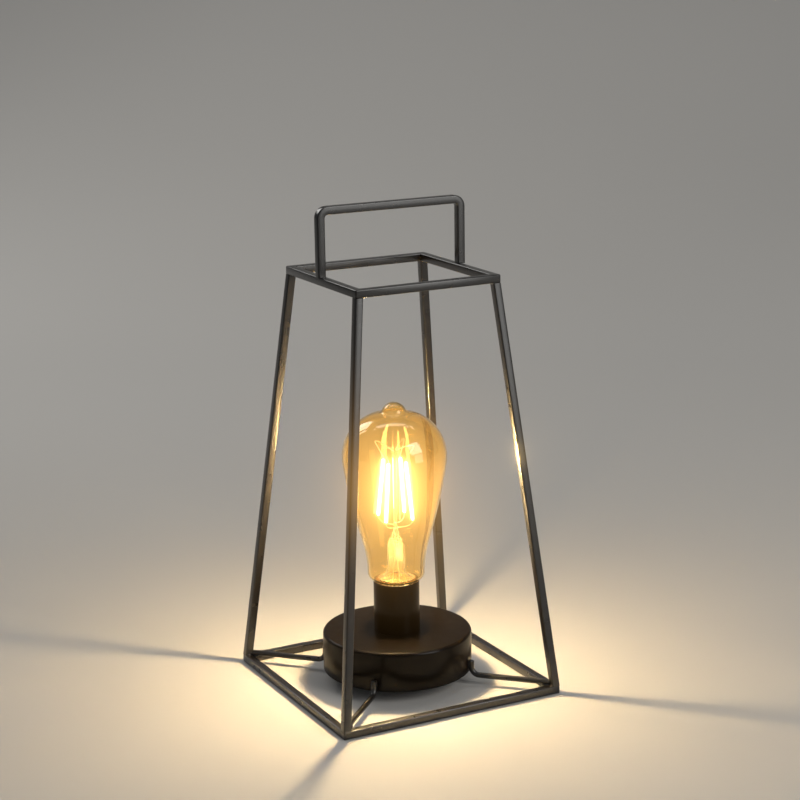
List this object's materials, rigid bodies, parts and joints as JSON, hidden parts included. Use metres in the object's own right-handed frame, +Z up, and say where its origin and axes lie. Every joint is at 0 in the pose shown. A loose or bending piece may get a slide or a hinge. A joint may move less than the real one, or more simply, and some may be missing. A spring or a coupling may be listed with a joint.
{
  "type": "lantern table lamp",
  "caption": "Tapered open lantern table lamp: square steel bar cage with a top handle, a round base on spokes and a pear-shaped filament bulb.",
  "frame": {"origin": "middle of the square footprint, on the surface that the bottom ring stands on", "axes": "+Z up, +X along the handle towards the battery door's press tab, -Y towards the front"},
  "size_m": [0.148, 0.148, 0.302],
  "materials": {
    "cage_paint": "satin bronze-black paint over welded square bar",
    "base_paint": "satin bronze-black paint over drawn sheet",
    "sleeve_paint": "satin bronze-black paint",
    "black_plastic": "fine moulded grain",
    "bright_steel": "bright plated steel",
    "switch_plastic": "smooth moulded knob",
    "cell_label": "plain shrink sleeve, no print",
    "circuit_board": "green solder mask",
    "chip_black": "matt black",
    "lead_sleeve": "insulated lead",
    "brass": "rolled brass",
    "solder": "solder",
    "amber_glass": "light amber blown glass",
    "clear_glass": "clear drawn glass",
    "bulb_wire": "nickel wire",
    "filament_glow": "phosphor coat, lit"
  },
  "bodies": {
    "lamp": {"bottom_bar_front": "cage_paint", "bottom_bar_right": "cage_paint", "bottom_bar_rear": "cage_paint", "bottom_bar_left": "cage_paint", "top_bar_front": "cage_paint", "top_bar_right": "cage_paint", "top_bar_rear": "cage_paint", "top_bar_left": "cage_paint", "leg_front_left": "cage_paint", "leg_front_right": "cage_paint", "leg_rear_right": "cage_paint", "leg_rear_left": "cage_paint", "spoke_front_left": "cage_paint", "spoke_front_right": "cage_paint", "spoke_rear_right": "cage_paint", "spoke_rear_left": "cage_paint", "handle": "cage_paint", "base_housing": "base_paint", "socket_sleeve": "sleeve_paint", "battery_tray": "black_plastic", "lampholder_body": "black_plastic", "housing_posts": "bright_steel", "tray_screws": "bright_steel", "small_screws": "bright_steel", "nipple_nut": "bright_steel", "nipple_washer": "bright_steel", "threaded_nipple": "bright_steel", "positive_terminal": "bright_steel", "negative_terminal": "bright_steel", "link_contacts": "bright_steel", "contact_springs": "bright_steel", "lampholder_contact": "bright_steel", "switch_body": "bright_steel", "battery_cell_front": "cell_label", "battery_cell_middle": "cell_label", "battery_cell_rear": "cell_label", "circuit_board": "circuit_board", "timer_chip": "chip_black", "filter_capacitor": "chip_black", "battery_leads": "lead_sleeve", "lampholder_leads": "lead_sleeve", "lampholder_shell": "brass"},
    "battery_door": {"battery_door": "black_plastic"},
    "switch_slider": {"switch_slider": "switch_plastic"},
    "bulb": {"bulb_cap": "brass", "bulb_cap_insulator": "chip_black", "bulb_cap_contact": "solder", "bulb_glass": "amber_glass", "bulb_stem": "clear_glass", "lead_in_wires": "bulb_wire", "filament_supports": "bulb_wire", "led_filament_1": "filament_glow", "led_filament_2": "filament_glow", "led_filament_3": "filament_glow", "led_filament_4": "filament_glow"}
  },
  "joints": [
    {"name": "battery_door_hinge", "type": "hinge", "parent": "lamp", "child": "battery_door", "pos_m": [-0.0307, 0, 0.0092], "axis": [0, 1, 0], "range_deg": [0, 60]},
    {"name": "switch_slide", "type": "slide", "parent": "lamp", "child": "switch_slider", "axis": [1, 0, 0], "range_m": [0, 0.004]},
    {"name": "bulb_lift", "type": "slide", "parent": "lamp", "child": "bulb", "axis": [0, 0, 1], "range_m": [0, 0.028]}
  ]
}
